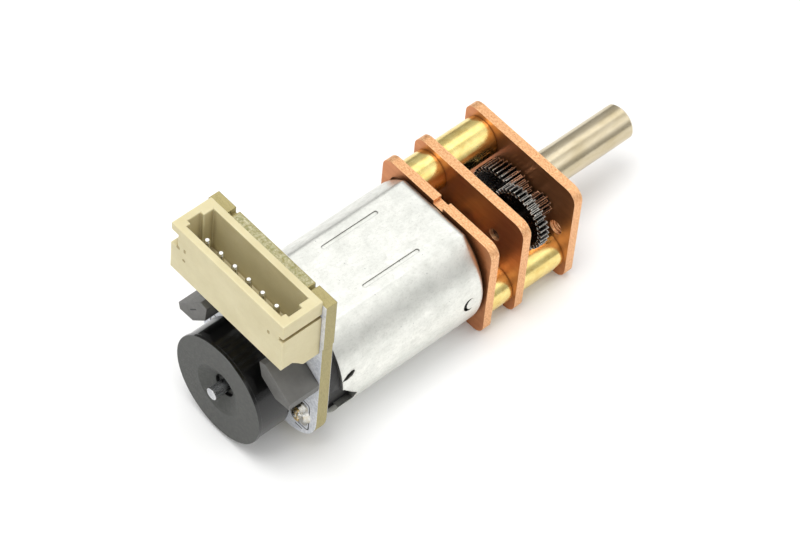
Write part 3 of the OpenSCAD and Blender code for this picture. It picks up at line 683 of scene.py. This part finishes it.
def hole_threads():
    """The thread's crests in the two mounting holes."""
    mount = next(m for m in frame["record"]["mounts"] if m["name"] == "mount_holes")
    radius = mount["dims"]["hole_r_mm"]
    reach = mount["dims"]["spacing_x_mm"] / 2
    pitch, steps, height = 0.25, 32, 0.075
    back, front = plate_low.x / MM + 0.03, plate_high.x / MM - 0.03
    half = pitch * 0.42
    turns = (front - back - 2 * half) / pitch
    bm = bmesh.new()
    for sign in (-1, 1):
        rows = []
        for i in range(int(turns * steps) + 1):
            angle = math.tau * i / steps
            x = back + half + pitch * i / steps
            rows.append([
                bm.verts.new((x + dx, sign * reach + r * math.cos(angle), r * math.sin(angle)))
                for dx, r in ((-half, radius + 0.01), (0, radius - height), (half, radius + 0.01))
            ])
        for row, following in zip(rows, rows[1:]):
            for i in range(3):
                j = (i + 1) % 3
                bm.faces.new((row[i], row[j], following[j], following[i]))
        for row in (rows[0], rows[-1]):
            bm.faces.new(row)
    return add_piece("hole_threads", bm, LOOKS["copper_plate"])


MASK = solder_mask()
INK = plastic("printed_ink", srgb(34, 34, 36), srgb(52, 52, 54), (0.5, 0.7))
MARK = plastic("mould_mark", srgb(172, 156, 112), srgb(150, 132, 88), (0.5, 0.7))
board_mask(BACK_SIDE, "board_mask_back")
board_mask(FRONT_SIDE, "board_mask_front")
board_break()
board_metal()
board_outlines()
lumpy_solder()
sensor_dash()
connector_marks()
hole_threads()


# ---- floor, light and camera ----

def studio():
    floor_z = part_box("motor_can")[0].z
    bpy.ops.mesh.primitive_plane_add(size=6, location=(0, 0, floor_z))
    floor = bpy.context.object
    floor.name = "floor"
    paper = Shader("floor_paper", (0.9, 0.9, 0.895), roughness=0.7)
    paper.link(paper.mix(paper.spread(paper.noise(0.01, 3), 0.3, 0.7), (0.9, 0.9, 0.9), (0.89, 0.89, 0.885)), "Base Color")
    floor.data.materials.append(paper.material)

    sky()


def sky():
    """White tent: darker towards the far side's horizon, brighter on the near side."""
    world = bpy.data.worlds.new("studio")
    bpy.context.scene.world = world
    world.use_nodes = True
    tree = world.node_tree
    source = tree.nodes.new("ShaderNodeTexCoord")
    split = tree.nodes.new("ShaderNodeSeparateXYZ")
    tree.links.new(source.outputs["Generated"], split.inputs[0])

    def ramp(axis, stops):
        made = tree.nodes.new("ShaderNodeValToRGB")
        tree.links.new(split.outputs[axis], made.inputs[0])
        elements = made.color_ramp.elements
        while len(elements) < len(stops):
            elements.new(0.5)
        for element, (place, value) in zip(elements, stops):
            element.position = place
            element.color = (value, value, value * 0.99, 1)
        return made.outputs[0]

    near = ramp("Z", ((0.0, 0.42), (0.35, 0.62), (0.62, 1.55), (0.78, 1.3), (0.93, 0.75)))
    far = ramp("Z", ((0.0, 0.34), (0.35, 0.56), (0.8, 0.8)))
    side = tree.nodes.new("ShaderNodeMapRange")
    side.inputs["From Min"].default_value = -0.35
    side.inputs["From Max"].default_value = 0.35
    tree.links.new(split.outputs["Y"], side.inputs["Value"])
    blend = tree.nodes.new("ShaderNodeMix")
    blend.data_type = "RGBA"
    tree.links.new(side.outputs["Result"], blend.inputs[0])
    tree.links.new(near, blend.inputs[6])
    tree.links.new(far, blend.inputs[7])
    tree.links.new(blend.outputs[2], tree.nodes["Background"].inputs["Color"])
    tree.nodes["Background"].inputs["Strength"].default_value = 1.0


def softbox(name, place, target, size, power, shape="RECTANGLE"):
    light = bpy.data.lights.new(name, "AREA")
    light.shape = shape
    light.size = size[0]
    light.size_y = size[1]
    light.energy = power
    holder = bpy.data.objects.new(name, light)
    bpy.context.scene.collection.objects.link(holder)
    holder.location = place
    holder.rotation_euler = (Vector(target) - Vector(place)).to_track_quat("-Z", "Y").to_euler()


def camera():
    """A long lens from behind and above, at the reference view's angle."""
    azimuth, elevation, roll = (math.radians(a) for a in (-46.46, 52.05, 5.89))
    pivot = Vector((-9.0, 0, 0)) * MM
    distance = 308.27 * MM
    shift_right, shift_up = 2.61 * MM, 1.64 * MM
    back = Vector((
        math.sin(azimuth) * math.cos(elevation),
        -math.cos(azimuth) * math.cos(elevation),
        math.sin(elevation),
    ))
    level = Vector((math.cos(azimuth), math.sin(azimuth), 0))
    upright = back.cross(level)
    right = math.cos(roll) * level + math.sin(roll) * upright
    up = -math.sin(roll) * level + math.cos(roll) * upright
    data = bpy.data.cameras.new("camera")
    data.lens = 185.7
    data.clip_start = 0.01
    holder = bpy.data.objects.new("camera", data)
    bpy.context.scene.collection.objects.link(holder)
    turn = Matrix((right, up, back)).transposed().to_4x4()
    turn.translation = pivot - shift_right * right - shift_up * up + distance * back
    holder.matrix_world = turn
    bpy.context.scene.camera = holder


studio()
softbox("key", (-0.15, 0.07, 0.56), (-0.01, 0, 0), (0.35, 0.35), 1.9)
softbox("strip", (0.26, 0.157, 0.514), (-0.01, 0, 0), (0.35, 0.24), 0.24)
camera()
bpy.context.scene.view_settings.view_transform = "Standard"
